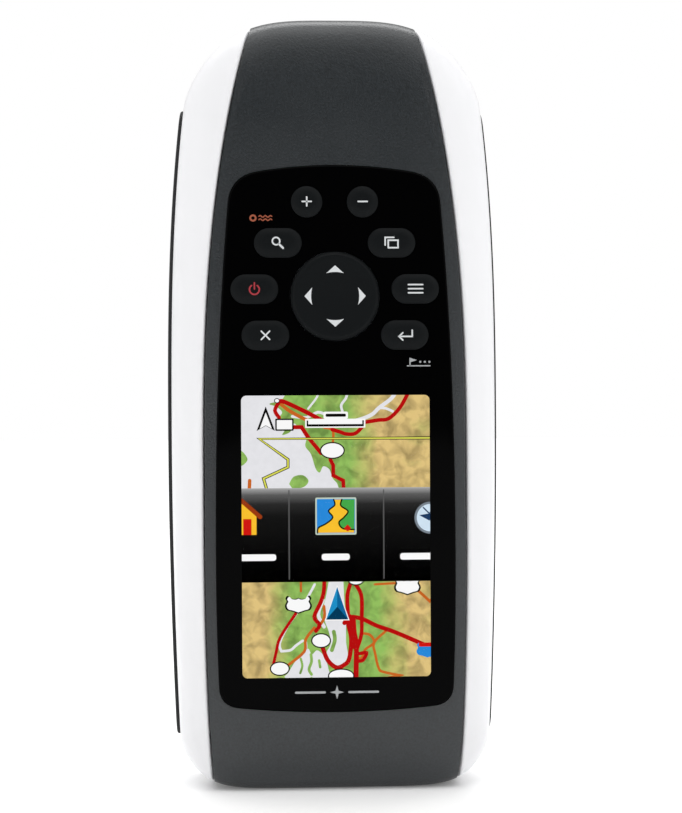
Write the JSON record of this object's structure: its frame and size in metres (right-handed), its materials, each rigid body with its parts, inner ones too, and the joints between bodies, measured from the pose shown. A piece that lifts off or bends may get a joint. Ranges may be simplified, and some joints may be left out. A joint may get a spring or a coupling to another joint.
{
  "type": "handheld gps unit",
  "caption": "Upright handheld gps unit: white shell, dark centre skin, gloss panel with oval keys and a rocker above a colour display, battery door with D-ring behind.",
  "frame": {"origin": "middle of the base, on the plane that the unit stands on", "axes": "+Z towards the antenna end, +X to the user's right, keys face -Y and the battery door faces +Y"},
  "size_m": [0.066, 0.03, 0.152],
  "materials": {
    "white_shell": "smooth satin white moulding",
    "dark_shell": "fine spark-eroded grain, dark blue grey",
    "grip_rubber": "matte dark grey rubber",
    "gloss_black": "black gloss, printed from behind",
    "clear_window": "clear gloss",
    "key_plastic": "satin black with pale printed marks",
    "screen": "lit colour display",
    "light_guide": "milky light guide",
    "steel": "satin nickel-plated steel",
    "brass": "gold-flashed brass",
    "circuit_board": "green solder mask",
    "inner_plastic": "plain black moulding",
    "silicone": "grey silicone",
    "cell_jacket": "printed cell jacket",
    "ceramic": "plain ceramic"
  },
  "bodies": {
    "housing": {"front_housing": "white_shell", "rear_housing": "white_shell", "front_fascia": "dark_shell", "mount_spine": "dark_shell", "housing_gasket": "silicone", "keypad_membrane": "silicone", "grip_left": "grip_rubber", "grip_right": "grip_rubber", "lens_panel": "gloss_black", "display_window": "clear_window", "lcd_glass": "screen", "backlight": "light_guide", "key_dome_sheet": "steel", "lcd_frame": "steel", "main_board": "circuit_board", "io_board": "circuit_board", "antenna_base": "circuit_board", "processor_shield": "steel", "beeper": "inner_plastic", "antenna_core": "ceramic", "antenna_cable": "inner_plastic", "usb_port": "steel", "antenna_jack": "brass", "battery_1": "cell_jacket", "battery_2": "cell_jacket", "contact_plate_negative": "steel", "contact_plate_positive": "steel", "contact_bridge": "steel", "contact_spring_1": "steel", "contact_spring_2": "steel", "card_holder": "inner_plastic", "memory_card": "inner_plastic", "housing_screw_1": "steel", "housing_screw_2": "steel", "housing_screw_3": "steel", "housing_screw_4": "steel", "board_screw_1": "steel", "spine_screw_1": "steel", "board_screw_2": "steel", "spine_screw_2": "steel"},
    "zoom_out_key": {"zoom_out_key": "key_plastic"},
    "zoom_in_key": {"zoom_in_key": "key_plastic"},
    "find_key": {"find_key": "key_plastic"},
    "page_key": {"page_key": "key_plastic"},
    "power_key": {"power_key": "key_plastic"},
    "menu_key": {"menu_key": "key_plastic"},
    "quit_key": {"quit_key": "key_plastic"},
    "enter_key": {"enter_key": "key_plastic"},
    "rocker_pivot": {"rocker_pivot": "steel"},
    "rocker_cap": {"rocker_cap": "key_plastic"},
    "usb_cap": {"usb_cap": "grip_rubber"},
    "antenna_cap": {"antenna_cap": "grip_rubber"},
    "battery_door": {"battery_door": "dark_shell", "door_gasket": "silicone"},
    "latch": {"latch_knob": "steel", "latch_cam": "steel"},
    "d_ring": {"d_ring": "steel"}
  },
  "joints": [
    {"name": "zoom_out_key_press", "type": "slide", "parent": "housing", "child": "zoom_out_key", "axis": [0, 1, 0], "range_m": [0, 0.00045], "stiffness_N_per_m": 800},
    {"name": "zoom_in_key_press", "type": "slide", "parent": "housing", "child": "zoom_in_key", "axis": [0, 1, 0], "range_m": [0, 0.00045], "stiffness_N_per_m": 800},
    {"name": "find_key_press", "type": "slide", "parent": "housing", "child": "find_key", "axis": [0, 1, 0], "range_m": [0, 0.00045], "stiffness_N_per_m": 800},
    {"name": "page_key_press", "type": "slide", "parent": "housing", "child": "page_key", "axis": [0, 1, 0], "range_m": [0, 0.00045], "stiffness_N_per_m": 800},
    {"name": "power_key_press", "type": "slide", "parent": "housing", "child": "power_key", "axis": [0, 1, 0], "range_m": [0, 0.00045], "stiffness_N_per_m": 800},
    {"name": "menu_key_press", "type": "slide", "parent": "housing", "child": "menu_key", "axis": [0, 1, 0], "range_m": [0, 0.00045], "stiffness_N_per_m": 800},
    {"name": "quit_key_press", "type": "slide", "parent": "housing", "child": "quit_key", "axis": [0, 1, 0], "range_m": [0, 0.00045], "stiffness_N_per_m": 800},
    {"name": "enter_key_press", "type": "slide", "parent": "housing", "child": "enter_key", "axis": [0, 1, 0], "range_m": [0, 0.00045], "stiffness_N_per_m": 800},
    {"name": "rocker_tip_up_down", "type": "hinge", "parent": "housing", "child": "rocker_pivot", "pos_m": [0, -0.0124, 0.0968], "axis": [1, 0, 0], "range_deg": [-4, 4], "stiffness_Nm_per_rad": 0.05},
    {"name": "rocker_tip_left_right", "type": "hinge", "parent": "rocker_pivot", "child": "rocker_cap", "pos_m": [0, -0.0124, 0.0968], "axis": [0, 0, 1], "range_deg": [-4, 4], "stiffness_Nm_per_rad": 0.05},
    {"name": "usb_cap_hinge", "type": "hinge", "parent": "housing", "child": "usb_cap", "pos_m": [0.0105, 0.01265, 0.1204], "axis": [-1, 0, 0], "range_deg": [0, 110]},
    {"name": "antenna_cap_hinge", "type": "hinge", "parent": "housing", "child": "antenna_cap", "pos_m": [-0.0105, 0.01265, 0.1204], "axis": [-1, 0, 0], "range_deg": [0, 110]},
    {"name": "battery_door_lift", "type": "slide", "parent": "housing", "child": "battery_door", "axis": [0, 1, 0], "range_m": [0, 0.03]},
    {"name": "latch_turn", "type": "hinge", "parent": "battery_door", "child": "latch", "pos_m": [0, 0.0128, 0.0166], "axis": [0, 1, 0], "range_deg": [0, 90]},
    {"name": "d_ring_flip", "type": "hinge", "parent": "latch", "child": "d_ring", "pos_m": [0, 0.0128, 0.0166], "axis": [1, 0, 0], "range_deg": [0, 100]}
  ]
}
